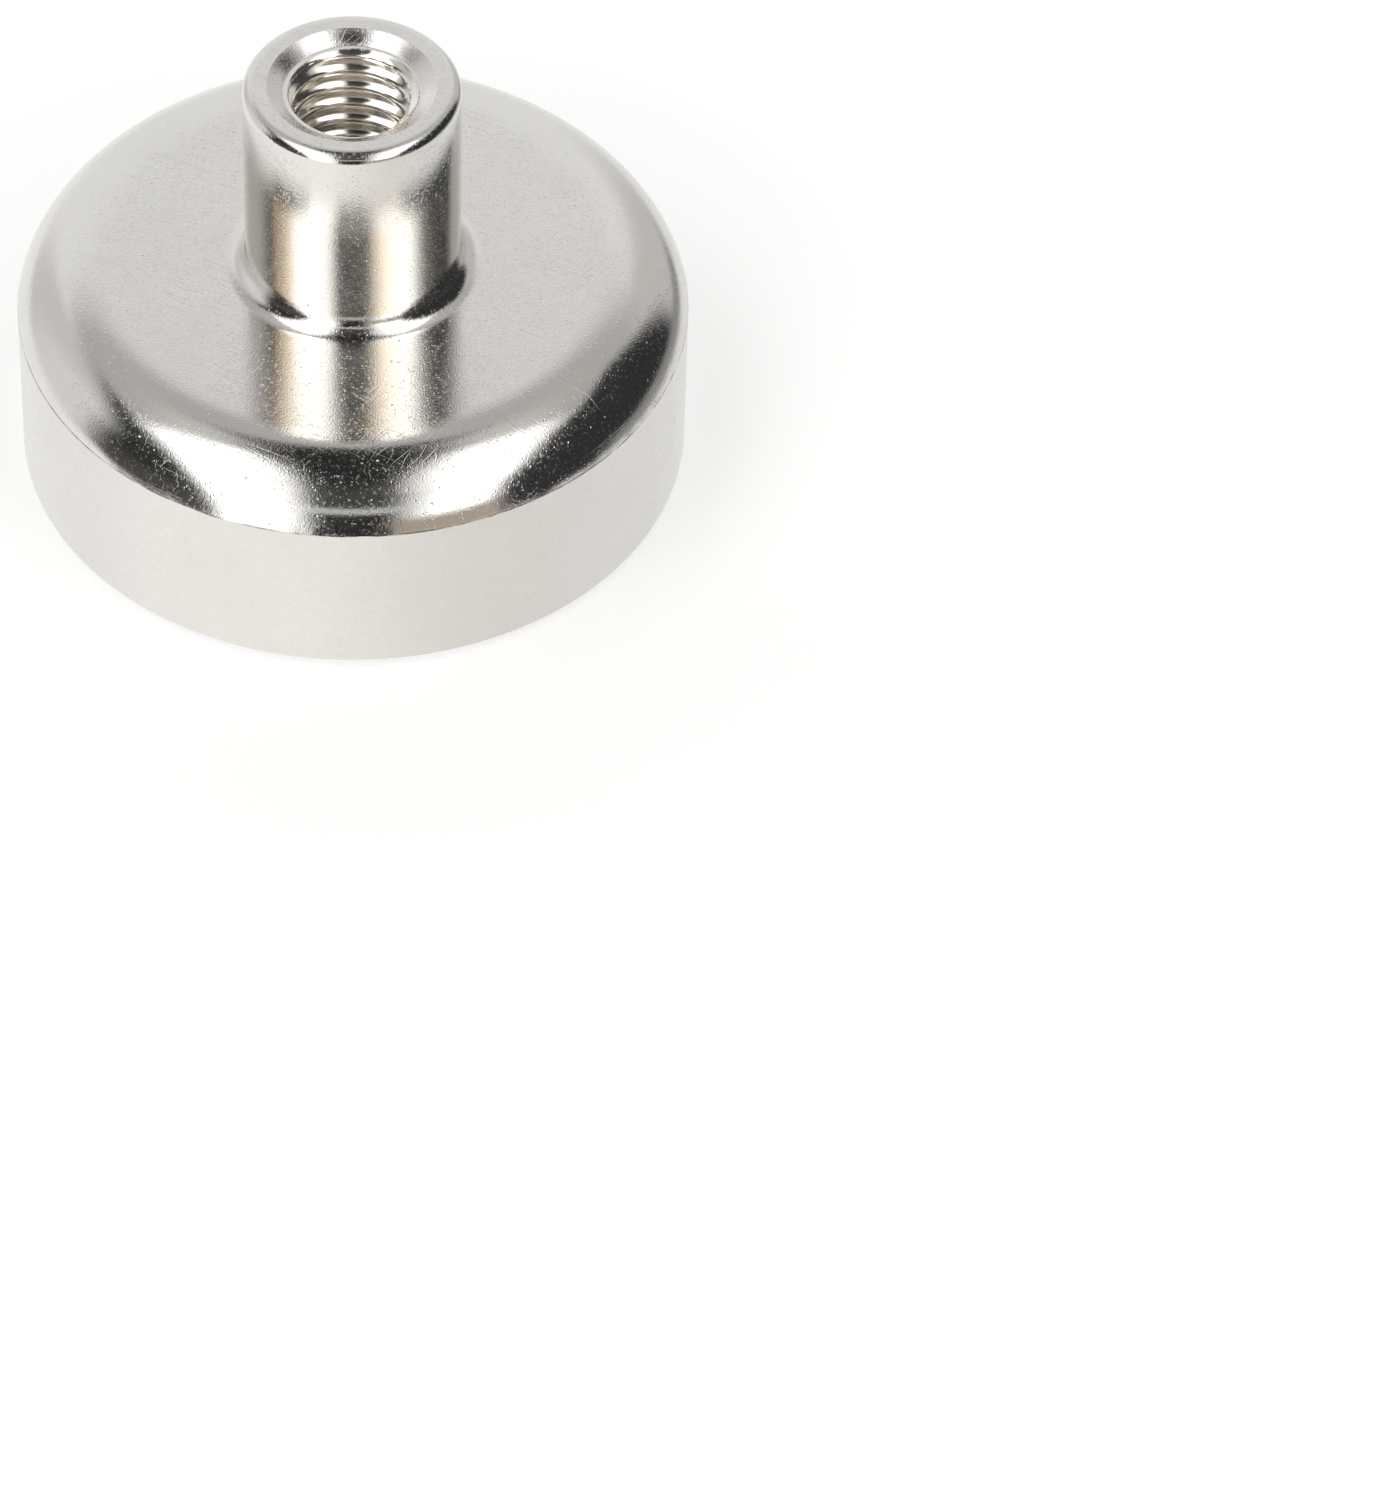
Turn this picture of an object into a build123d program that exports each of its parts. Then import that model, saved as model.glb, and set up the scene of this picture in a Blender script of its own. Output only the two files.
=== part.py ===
from build123d import *
import math
import os

# Round pot magnet with a female-threaded boss, 25 mm across and 17.45 mm high.
#
# Frame: millimetres, +Z up. The origin is the centre of the clamping face: the
# rim of the steel cup lies in the plane z = 0 and the boss points up along +Z.
# Everything is turned about Z, apart from the four centring tabs on the inside
# of the plastic ring.
#
# Pieces, from the outside in:
#   steel_pot    nickel-plated steel cup and its boss, forged and turned as one
#                piece, with a blind tapped hole down the boss
#   spacer_ring  moulded plastic ring that centres the magnet in the cup
#   disc_magnet  nickel-plated neodymium disc, a hair behind the rim
#   epoxy_bond   cured adhesive: a thin bed behind the magnet and the ring, and
#                the seams on both sides of the ring

# ---- steel cup --------------------------------------------------------------
POT_R = 12.5            # outside radius of the turned wall
POT_H = 8.85            # rim to the flat roof
CREASE_Z = 6.7          # where the turned wall cuts the forged shoulder
ROOF_R = 9.6            # where the flat roof runs into the shoulder
RIM_CHAMFER = 0.3       # outer edge of the rim
MOUTH_CHAMFER = 0.28    # inner edge of the rim
POCKET_R = 11.35        # inside radius of the cup
POCKET_Z = 5.2          # depth of the cup, rim to floor
POCKET_FILLET = 0.5     # inside corner of the cup

# ---- boss and tapped hole ---------------------------------------------------
BOSS_R = 4.0            # outside radius
BOSS_TOP = 17.45        # rim of the cup to the seat of the boss
BOSS_EDGE = 0.4         # rounded outer edge of the seat
FOOT_FILLET = 0.75      # fillet where the boss meets the roof
TAP_R = 2.1             # M5 x 0.8 tapping hole, the crests of the thread
SINK_R = 3.1            # mouth of the countersink
SINK_ANGLE = 120.0      # included angle of the countersink
LEDGE_R = 2.5           # the countersink ends here, in a flat ledge round the hole
HOLE_END_Z = 7.4        # end of the full-radius hole
DRILL_TIP = 118.0       # included angle of the drill point

# ---- magnet, ring and adhesive ----------------------------------------------
MAGNET_R = 9.25
MAGNET_T = 5.0
MAGNET_Z = 0.1          # the rim stands this far proud of the magnet
MAGNET_EDGE = 0.25      # tumbled edge of the disc
RING_OUT_R = 11.1
RING_IN_R = 9.6
RING_Z = 0.35           # the ring sits a little further in
RING_EDGE = 0.12        # broken edges of the ring's visible face
TAB_R = 9.3             # the centring tabs reach almost to the magnet
TAB_W = 2.4             # width of a tab along the magnet's edge
TAB_COUNT = 4
TAB_ANGLE = 20.0        # the first tab, from +X towards +Y
SEAM_Z = 0.5            # the adhesive stands a little below the ring's face

os.makedirs("parts", exist_ok=True)

# The shoulder is one arc, tangent to the roof and cut off by the turned wall.
_w = POT_R - ROOF_R
_k = POT_H - CREASE_Z
SHOULDER_R = (_w * _w + _k * _k) / (2 * _k)
SHOULDER_CZ = POT_H - SHOULDER_R
_mid = (math.atan2(CREASE_Z - SHOULDER_CZ, _w) + math.pi / 2) / 2
SHOULDER_MID = (
    ROOF_R + SHOULDER_R * math.cos(_mid),
    SHOULDER_CZ + SHOULDER_R * math.sin(_mid),
)
# The drill point follows from the tapping hole, the ledge from the countersink.
TIP_Z = HOLE_END_Z - TAP_R / math.tan(math.radians(DRILL_TIP / 2))
LEDGE_Z = BOSS_TOP - (SINK_R - LEDGE_R) / math.tan(math.radians(SINK_ANGLE / 2))
MAGNET_BACK_Z = MAGNET_Z + MAGNET_T


# ---- steel_pot --------------------------------------------------------------
with BuildPart() as steel_pot:
    with BuildSketch(Plane.XZ):
        with BuildLine():
            # blind hole, from the drill point up to the seat
            Line((0, TIP_Z), (TAP_R, HOLE_END_Z))
            Line((TAP_R, HOLE_END_Z), (TAP_R, LEDGE_Z))
            Line((TAP_R, LEDGE_Z), (LEDGE_R, LEDGE_Z))
            Line((LEDGE_R, LEDGE_Z), (SINK_R, BOSS_TOP))
            # seat, rounded edge, boss wall and foot fillet
            Line((SINK_R, BOSS_TOP), (BOSS_R - BOSS_EDGE, BOSS_TOP))
            CenterArc(
                (BOSS_R - BOSS_EDGE, BOSS_TOP - BOSS_EDGE), BOSS_EDGE, 90, -90
            )
            Line((BOSS_R, BOSS_TOP - BOSS_EDGE), (BOSS_R, POT_H + FOOT_FILLET))
            CenterArc(
                (BOSS_R + FOOT_FILLET, POT_H + FOOT_FILLET), FOOT_FILLET, 180, 90
            )
            # flat roof, forged shoulder and turned wall
            Line((BOSS_R + FOOT_FILLET, POT_H), (ROOF_R, POT_H))
            ThreePointArc((ROOF_R, POT_H), SHOULDER_MID, (POT_R, CREASE_Z))
            Line((POT_R, CREASE_Z), (POT_R, RIM_CHAMFER))
            # rim, broken on both edges
            Line((POT_R, RIM_CHAMFER), (POT_R - RIM_CHAMFER, 0))
            Line((POT_R - RIM_CHAMFER, 0), (POCKET_R + MOUTH_CHAMFER, 0))
            Line((POCKET_R + MOUTH_CHAMFER, 0), (POCKET_R, MOUTH_CHAMFER))
            # pocket for the magnet
            Line((POCKET_R, MOUTH_CHAMFER), (POCKET_R, POCKET_Z - POCKET_FILLET))
            CenterArc(
                (POCKET_R - POCKET_FILLET, POCKET_Z - POCKET_FILLET),
                POCKET_FILLET,
                0,
                90,
            )
            Line((POCKET_R - POCKET_FILLET, POCKET_Z), (0, POCKET_Z))
            Line((0, POCKET_Z), (0, TIP_Z))
        make_face()
    revolve(axis=Axis.Z)
steel_pot.part.label = "steel_pot"

# ---- disc_magnet ------------------------------------------------------------
with BuildPart() as disc_magnet:
    with BuildSketch(Plane.XY.offset(MAGNET_Z)):
        Circle(MAGNET_R)
    extrude(amount=MAGNET_T)
    fillet(disc_magnet.edges().filter_by(GeomType.CIRCLE), MAGNET_EDGE)
disc_magnet.part.label = "disc_magnet"

# ---- spacer_ring ------------------------------------------------------------
with BuildPart() as spacer_ring:
    with BuildSketch(Plane.XY.offset(RING_Z)):
        Circle(RING_OUT_R)
        Circle(RING_IN_R, mode=Mode.SUBTRACT)
    extrude(amount=MAGNET_BACK_Z - RING_Z)
    chamfer(
        spacer_ring.edges().filter_by(GeomType.CIRCLE).group_by(Axis.Z)[0],
        RING_EDGE,
    )
    # the tabs stand on the ring's inner wall, a step back from its face
    with BuildSketch(Plane.XY.offset(RING_Z + RING_EDGE)):
        with PolarLocations(
            (TAB_R + RING_IN_R) / 2, TAB_COUNT, start_angle=TAB_ANGLE
        ):
            Rectangle(RING_IN_R - TAB_R + 0.6, TAB_W)
        Circle(TAB_R, mode=Mode.SUBTRACT)
    extrude(amount=MAGNET_BACK_Z - RING_Z - RING_EDGE)
spacer_ring.part.label = "spacer_ring"

# ---- epoxy_bond -------------------------------------------------------------
# The adhesive fills what the magnet and the ring leave free in the cup.
with BuildPart() as epoxy_bond:
    with BuildSketch(Plane.XZ):
        with BuildLine():
            Line((0, SEAM_Z), (POCKET_R, SEAM_Z))
            Line((POCKET_R, SEAM_Z), (POCKET_R, POCKET_Z - POCKET_FILLET))
            CenterArc(
                (POCKET_R - POCKET_FILLET, POCKET_Z - POCKET_FILLET),
                POCKET_FILLET,
                0,
                90,
            )
            Line((POCKET_R - POCKET_FILLET, POCKET_Z), (0, POCKET_Z))
            Line((0, POCKET_Z), (0, SEAM_Z))
        make_face()
    revolve(axis=Axis.Z)
    add(disc_magnet.part, mode=Mode.SUBTRACT)
    add(spacer_ring.part, mode=Mode.SUBTRACT)
epoxy_bond.part.label = "epoxy_bond"

for piece in (steel_pot, disc_magnet, spacer_ring, epoxy_bond):
    export_step(piece.part, f"parts/{piece.part.label}.step")
    print(
        piece.part.label,
        "solids",
        len(piece.part.solids()),
        "volume_mm3",
        round(piece.part.volume, 2),
    )
print("shoulder radius", round(SHOULDER_R, 3), "drill tip z", round(TIP_Z, 3))
print("ledge z", round(LEDGE_Z, 3))
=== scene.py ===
import math

import bpy
import numpy as np
from mathutils import Matrix, Vector, noise


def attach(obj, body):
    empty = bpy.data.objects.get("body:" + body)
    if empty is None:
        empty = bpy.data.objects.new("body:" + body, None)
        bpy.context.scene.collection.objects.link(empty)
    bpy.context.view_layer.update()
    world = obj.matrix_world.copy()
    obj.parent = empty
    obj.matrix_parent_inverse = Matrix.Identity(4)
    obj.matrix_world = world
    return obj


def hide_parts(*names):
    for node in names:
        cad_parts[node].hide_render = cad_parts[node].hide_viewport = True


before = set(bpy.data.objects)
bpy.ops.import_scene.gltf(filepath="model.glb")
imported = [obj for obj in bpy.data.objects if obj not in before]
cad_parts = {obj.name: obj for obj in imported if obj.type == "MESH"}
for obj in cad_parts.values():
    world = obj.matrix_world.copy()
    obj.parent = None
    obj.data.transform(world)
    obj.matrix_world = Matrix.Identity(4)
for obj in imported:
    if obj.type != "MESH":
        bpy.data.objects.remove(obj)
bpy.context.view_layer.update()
scene = bpy.context.scene
MM = 0.001

# ---------------------------------------------------------------- dimensions
# Millimetres, the same form as the solids that these meshes stand for.
POT_R, POT_H, CREASE_Z, ROOF_R = 12.5, 8.85, 6.7, 9.6
RIM_CHAMFER, MOUTH_CHAMFER = 0.3, 0.28
POCKET_R, POCKET_Z, POCKET_FILLET = 11.35, 5.2, 0.5
BOSS_R, BOSS_TOP, BOSS_EDGE, FOOT_FILLET = 4.0, 17.45, 0.4, 0.75
TAP_R, ROOT_R, PITCH, SINK_R = 2.1, 2.5, 0.8, 3.1
LEDGE_R = 2.5
LEDGE_Z = BOSS_TOP - (SINK_R - LEDGE_R) * math.tan(math.radians(30))     # flat ledge at the end of the countersink
HOLE_END_Z, DRILL_TIP = 7.4, 118.0
MAGNET_R, MAGNET_T, MAGNET_Z, MAGNET_EDGE = 9.25, 5.0, 0.1, 0.25
RING_OUT_R, RING_IN_R, RING_Z, RING_EDGE = 11.1, 9.6, 0.35, 0.12
TAB_R, TAB_W, TAB_COUNT, TAB_ANGLE = 9.3, 2.4, 4, 20.0
SEAM_Z = 0.5
MAGNET_BACK_Z = MAGNET_Z + MAGNET_T

_w, _k = POT_R - ROOF_R, POT_H - CREASE_Z
SHOULDER_R = (_w * _w + _k * _k) / (2 * _k)
SHOULDER_CZ = POT_H - SHOULDER_R
SHOULDER_END = math.atan2(CREASE_Z - SHOULDER_CZ, _w)


# ------------------------------------------------------------- mesh helpers
def wobble(n, seed, scale, octaves=3):
    """A smooth closed curve of n values round the part, about -1 to 1."""
    out = np.zeros(n)
    for i in range(n):
        a = 2 * math.pi * i / n
        p = Vector((math.cos(a) * scale, math.sin(a) * scale, seed * 7.31))
        s, amp = 0.0, 1.0
        for o in range(octaves):
            s += amp * noise.noise(p * (2.0 ** o))
            amp *= 0.55
        out[i] = s
    return out


def rings_to_mesh(name, rings, closed_profile=False, sharp_deg=11.0):
    """Joins rings of points (n x 3 arrays, or a single point for a pole) into one closed mesh, in mm.
    A ring may have a third as many points as its neighbour; the strip between them is then filled with triangles."""
    verts, faces, starts, counts = [], [], [], []
    for ring in rings:
        ring = np.atleast_2d(np.asarray(ring, float))
        starts.append(len(verts))
        counts.append(len(ring))
        verts.extend(ring.tolist())
    pairs = list(zip(range(len(rings) - 1), range(1, len(rings))))
    if closed_profile:
        pairs.append((len(rings) - 1, 0))
    for a, b in pairs:
        sa, sb, na, nb = starts[a], starts[b], counts[a], counts[b]
        if na == 1 and nb == 1:
            continue
        if na == 1:
            for i in range(nb):
                faces.append((sa, sb + (i + 1) % nb, sb + i))
        elif nb == 1:
            for i in range(na):
                faces.append((sa + i, sa + (i + 1) % na, sb))
        elif na == nb:
            for i in range(na):
                j = (i + 1) % na
                faces.append((sa + i, sa + j, sb + j, sb + i))
        elif nb == 3 * na:
            for i in range(na):
                j = (i + 1) % na
                o = [sb + (3 * i + k) % nb for k in range(4)]
                faces.append((sa + i, o[1], o[0]))
                faces.append((sa + i, sa + j, o[2], o[1]))
                faces.append((sa + j, o[3], o[2]))
        elif na == 3 * nb:
            for i in range(nb):
                j = (i + 1) % nb
                o = [sa + (3 * i + k) % na for k in range(4)]
                faces.append((o[0], o[1], sb + i))
                faces.append((o[1], o[2], sb + j, sb + i))
                faces.append((o[2], o[3], sb + j))
        else:
            raise ValueError("rings do not match")
    return make_object(name, verts, faces, sharp_deg)


def make_object(name, verts, faces, sharp_deg=11.0, merge=True):
    import bmesh
    bm = bmesh.new()
    vs = [bm.verts.new((x * MM, y * MM, z * MM)) for x, y, z in verts]
    for f in faces:
        try:
            bm.faces.new([vs[i] for i in f])
        except ValueError:
            pass
    if merge:
        bmesh.ops.remove_doubles(bm, verts=bm.verts, dist=2e-7)
        bmesh.ops.dissolve_degenerate(bm, edges=bm.edges, dist=1e-7)
    bmesh.ops.recalc_face_normals(bm, faces=bm.faces)
    if bm.calc_volume(signed=True) < 0:
        bmesh.ops.reverse_faces(bm, faces=bm.faces)
    lim = math.radians(sharp_deg)
    for f in bm.faces:
        f.smooth = True
    for e in bm.edges:
        e.smooth = not (len(e.link_faces) == 2 and e.calc_face_angle(0.0) > lim)
    me = bpy.data.meshes.new(name)
    bm.to_mesh(me)
    bm.free()
    ob = bpy.data.objects.new(name, me)
    scene.collection.objects.link(ob)
    return ob


def ring(r, z, n):
    """One ring; r and z are numbers or arrays of n."""
    a = np.arange(n) * 2 * math.pi / n
    r = np.broadcast_to(np.asarray(r, float), (n,))
    z = np.broadcast_to(np.asarray(z, float), (n,))
    return np.stack([r * np.cos(a), r * np.sin(a), z], 1)


def arc(cr, cz, rad, a0, a1, steps):
    """Profile points along an arc, ends included, angles in degrees."""
    t = np.radians(np.linspace(a0, a1, steps + 1))
    return [(cr + rad * math.cos(x), cz + rad * math.sin(x)) for x in t]


# ---------------------------------------------------------------- steel pot
N_OUT, N_IN = 480, 160


def thread_radius(phase):
    """Radius of the internal thread at a phase of 0 to 1 along one pitch: 60 degree flanks between a root and a crest that the plating has rounded."""
    half_root, flank = 0.05, (ROOT_R - TAP_R) * math.tan(math.radians(30))
    x = abs((phase % 1.0) - 0.5) * PITCH      # 0 at the root's middle, half a pitch at the crest's
    t = min(max((x - half_root) / flank, 0.0), 1.0)
    wave = 0.5 - 0.5 * math.cos(2 * math.pi * x / PITCH)
    return ROOT_R + (TAP_R - ROOT_R) * (0.25 * t + 0.75 * wave)


def bore_grid():
    """The tapped hole up to the countersink's ledge, as a grid sheared along the right-handed helix and cut to the hole's length; also gives the hole's radius at its top, all round."""
    phases = [0, .045, .09, .13, .16, .19, .235, .28, .33, .38, .42, .455, .5, .545, .58, .62, .67, .72, .765, .81, .84, .87, .91, .955]
    m, n = len(phases), N_IN
    z_lo, z_hi = HOLE_END_Z, LEDGE_Z
    base = 6.4                        # puts a crest 0.45 mm under the seat, at the back of the hole
    turns = int(math.ceil((z_hi - base) / PITCH)) + 1
    rows = turns * m + 1
    nick = wobble(n, 3.0, 6.0)
    verts = []
    for j in range(rows + m):
        ph = phases[j % m]
        for i in range(n):
            th = 2 * math.pi * i / n
            z = base + PITCH * (j // m + ph + i / n)
            zc = min(max(z, z_lo), z_hi)
            p = (zc - base) / PITCH - i / n
            depth = min(max((zc - z_lo - 0.5) / 1.3, 0.0), 1.0)
            r = TAP_R + (thread_radius(p) - TAP_R) * depth * depth * (3 - 2 * depth)
            # the ledge's inner edge is slightly rounded where it cuts the crests
            near = max(zc - (z_hi - 0.22), 0.0) / 0.22
            r += (0.60 + 0.03 * nick[i]) * near * near * (ROOT_R - r)
            verts.append((r * math.cos(th), r * math.sin(th), zc))
    faces = []
    for j in range(rows - 1):
        for i in range(n):
            a, d = j * n + i, (j + 1) * n + i
            if i < n - 1:
                b, c = j * n + i + 1, (j + 1) * n + i + 1
            else:
                b, c = (j + m) * n, (j + 1 + m) * n
            zs = [verts[k][2] for k in (a, b, c, d)]
            if max(zs) - min(zs) < 1e-9:
                continue
            faces.append((a, d, c, b))
    top = []
    for i in range(n):
        p = (z_hi - base) / PITCH - i / n
        r = thread_radius(p)
        top.append(r + (0.60 + 0.03 * nick[i]) * (ROOT_R - r))
    return verts, faces, np.array(top)


def build_pot():
    n = N_OUT
    tip_z = HOLE_END_Z - TAP_R / math.tan(math.radians(DRILL_TIP / 2))
    crease_waver = 0.034 * wobble(n, 1.0, 30.0, 3) + 0.012 * wobble(n, 2.0, 4.0, 2)
    rim_waver = wobble(n, 5.0, 30.0, 3)
    prof = []
    # from the seat's inner edge outwards and down; the seat's inner ring has N_IN points
    out = [ring(SINK_R, BOSS_TOP, N_IN)]
    out.append(ring(SINK_R + 0.1, BOSS_TOP, n))
    for r in (3.35, 3.52):
        out.append(ring(r, BOSS_TOP, n))
    for r, z in arc(BOSS_R - BOSS_EDGE, BOSS_TOP - BOSS_EDGE, BOSS_EDGE, 90, 0, 10):
        out.append(ring(r, z, n))
    for z in (16.9, 16.5, 15.2, 13.6, 12.0, 10.6, 9.8, 9.5):
        out.append(ring(BOSS_R, z, n))
    for r, z in arc(BOSS_R + FOOT_FILLET, POT_H + FOOT_FILLET, FOOT_FILLET, 180, 270, 14):
        out.append(ring(r, z, n))
    for r in (4.85, 5.2, 6.0, 7.4, 8.6, 8.9):
        out.append(ring(r, POT_H, n))
    # the roof rolls off gently before the shoulder's arc takes over
    soft0, soft1 = ROOF_R - 0.7, ROOF_R + 0.7
    curve = 1.0 / (4 * SHOULDER_R * 0.7)
    for r in (9.05, 9.2, 9.35, 9.5, 9.65, 9.8, 9.95, 10.1):
        out.append(ring(r, POT_H - curve * (r - soft0) ** 3 / 3, n))
    drop = SHOULDER_CZ + math.sqrt(SHOULDER_R ** 2 - 0.49) - (POT_H - curve * 1.4 ** 3 / 3)
    steps = 30
    t0, t1 = math.acos((soft1 - ROOF_R) / SHOULDER_R), SHOULDER_END
    for s in range(steps + 1):
        a = t0 + (t1 - t0) * s / steps
        r, z = ROOF_R + SHOULDER_R * math.cos(a), SHOULDER_CZ + SHOULDER_R * math.sin(a)
        z -= drop * (1 - s / steps)
        if s == steps:
            # the crease wavers slightly where the turned wall cuts the forged skin
            z = CREASE_Z + crease_waver
            r = np.full(n, POT_R)
        elif s >= steps - 3:
            k = (s - (steps - 4)) / 4.0
            z = z + crease_waver * k * 0.6
        out.append(ring(r, z, n))
    # a plating-soft land just under the crease, then the turned wall
    out.append(ring(POT_R, CREASE_Z - 0.10 + crease_waver, n))
    for z in (6.3, 5.2, 3.8, 2.4, 1.2, 0.6):
        out.append(ring(POT_R, z, n))
    # rim: rounded breaks either side of a narrow ground face
    c = RIM_CHAMFER
    out.append(ring(POT_R, c + 0.05, n))
    out.append(ring(POT_R - 0.015, c, n))
    out.append(ring(POT_R - c * 0.5, c * 0.5, n))
    out.append(ring(POT_R - c + 0.012 + 0.010 * rim_waver, 0.016, n))
    out.append(ring(POT_R - c - 0.03 + 0.010 * rim_waver, 0.0, n))
    out.append(ring((POT_R - c + POCKET_R + MOUTH_CHAMFER) / 2, 0.0, n))
    out.append(ring(POCKET_R + MOUTH_CHAMFER + 0.03 + 0.010 * rim_waver[::-1], 0.0, n))
    out.append(ring(POCKET_R + MOUTH_CHAMFER - 0.01 + 0.010 * rim_waver[::-1], 0.02, n))
    out.append(ring(POCKET_R + 0.015, MOUTH_CHAMFER, n))
    out.append(ring(POCKET_R, MOUTH_CHAMFER + 0.05, n))
    out.append(ring(POCKET_R, 1.2, n))
    out.append(ring(POCKET_R, POCKET_Z - POCKET_FILLET - 0.05, N_IN))
    for r, z in arc(POCKET_R - POCKET_FILLET, POCKET_Z - POCKET_FILLET, POCKET_FILLET, 0, 90, 6):
        out.append(ring(r, z, N_IN))
    out.append(ring(6.0, POCKET_Z, N_IN))
    out.append([(0, 0, POCKET_Z)])
    # collect the rings, then add the bore's grid and the drill point, and merge
    verts, faces = [], []

    def strip(rs):
        starts, counts = [], []
        for rr in rs:
            rr = np.atleast_2d(np.asarray(rr, float))
            starts.append(len(verts))
            counts.append(len(rr))
            verts.extend(map(tuple, rr))
        for a in range(len(rs) - 1):
            sa, sb, na, nb = starts[a], starts[a + 1], counts[a], counts[a + 1]
            if nb == 1:
                for i in range(na):
                    faces.append((sa + i, sb, sa + (i + 1) % na))
            elif na == nb:
                for i in range(na):
                    j = (i + 1) % na
                    faces.append((sa + i, sb + i, sb + j, sa + j))
            elif nb == 3 * na:
                for i in range(na):
                    j = (i + 1) % na
                    o = [sb + (3 * i + k) % nb for k in range(4)]
                    faces.append((sa + i, o[0], o[1]))
                    faces.append((sa + i, o[1], o[2], sa + j))
                    faces.append((sa + j, o[2], o[3]))
            elif na == 3 * nb:
                for i in range(nb):
                    j = (i + 1) % nb
                    o = [sa + (3 * i + k) % na for k in range(4)]
                    faces.append((o[0], sb + i, o[1]))
                    faces.append((o[1], sb + i, sb + j, o[2]))
                    faces.append((o[2], sb + j, o[3]))

    strip(out)
    bv, bf, top = bore_grid()
    nick = 0.012 * wobble(N_IN, 4.0, 5.0)
    ledge = [ring(top, LEDGE_Z, N_IN), ring(np.maximum(top, 2.42), LEDGE_Z, N_IN)]
    for r, z in ((LEDGE_R - 0.02, LEDGE_Z), (LEDGE_R + 0.012, LEDGE_Z + 0.004), (LEDGE_R + 0.045, LEDGE_Z + 0.022)):
        ledge.append(ring(np.maximum(r + nick, top + 0.004 * (len(ledge) - 1)), z, N_IN))
    for r in (2.62, 2.8, 3.02):
        ledge.append(ring(r, BOSS_TOP - (SINK_R - r) * math.tan(math.radians(30)), N_IN))
    ledge.append(ring(SINK_R, BOSS_TOP, N_IN))
    strip(ledge[::-1])
    off = len(verts)
    verts.extend(bv)
    faces.extend([tuple(off + k for k in f) for f in bf])
    strip([ring(TAP_R, HOLE_END_Z, N_IN), ring(TAP_R * 0.5, (HOLE_END_Z + tip_z) / 2, N_IN), [(0, 0, tip_z)]])
    return make_object("pot_shell", verts, faces, 11.0)


# ------------------------------------------------- magnet, ring and adhesive
def build_magnet():
    n = 320
    e, r, z0, z1 = MAGNET_EDGE, MAGNET_R, MAGNET_Z, MAGNET_BACK_Z
    rings = [[(0, 0, z0)]]
    for rr in (2.0, 4.0, 6.0, 8.0, 8.8):
        rings.append(ring(rr, z0, n if rr > 7 else n))
    for rr, zz in arc(r - e, z0 + e, e, 270, 360, 9):
        rings.append(ring(rr, zz, n))
    rings.append(ring(r, 2.6, n))
    for rr, zz in arc(r - e, z1 - e, e, 0, 90, 5):
        rings.append(ring(rr, zz, n))
    rings.append(ring(6.0, z1, n))
    rings.append([(0, 0, z1)])
    return rings_to_mesh("magnet_disc", rings)


def inner_radius(theta):
    """Inner radius of the plastic ring's wall: the bore with its four tabs, whose ends have a small lead-in."""
    r = RING_IN_R
    for k in range(TAB_COUNT):
        c = math.radians(TAB_ANGLE + 90.0 * k)
        d = (theta - c + math.pi) % (2 * math.pi) - math.pi
        x = abs(d) * RING_IN_R - TAB_W / 2
        if x < -0.10:
            r = TAB_R
        elif x < 0.02:
            t = (x + 0.10) / 0.12
            r = TAB_R + (RING_IN_R - TAB_R) * t * t * (3 - 2 * t)
    return r


def build_ring():
    n = 720
    th = np.arange(n) * 2 * math.pi / n
    inner = np.array([inner_radius(t) for t in th])
    is_tab = (RING_IN_R - inner) / (RING_IN_R - TAB_R)
    z0, z1, e = RING_Z, MAGNET_BACK_Z, RING_EDGE
    sag = 0.018 * wobble(n, 8.0, 2.2, 2)
    rings = [
        ring(RING_OUT_R, z1, n),
        ring(RING_OUT_R, z0 + e + 0.03, n),
        ring(RING_OUT_R - 0.012, z0 + e * 0.7, n),
        ring(RING_OUT_R - e * 0.55, z0 + 0.02, n),
        ring(RING_OUT_R - e, z0, n),
        ring((RING_OUT_R + RING_IN_R) / 2 + 0.15, z0 + 0.012 + np.maximum(sag, -0.012), n),
        ring(RING_IN_R + e + 0.25, z0 + 0.008 + np.maximum(sag, -0.008), n),
        ring(RING_IN_R + e, z0, n),
        ring(RING_IN_R + e * 0.5, z0 + 0.02, n),
        ring(RING_IN_R + 0.005, z0 + e * 0.8, n),
        ring(np.minimum(RING_IN_R, inner + 0.03), z0 + e + 0.01, n),
        ring(inner, z0 + e + 0.05, n),
        ring(inner, z1, n),
    ]
    return rings_to_mesh("ring_moulding", rings, closed_profile=True)


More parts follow.
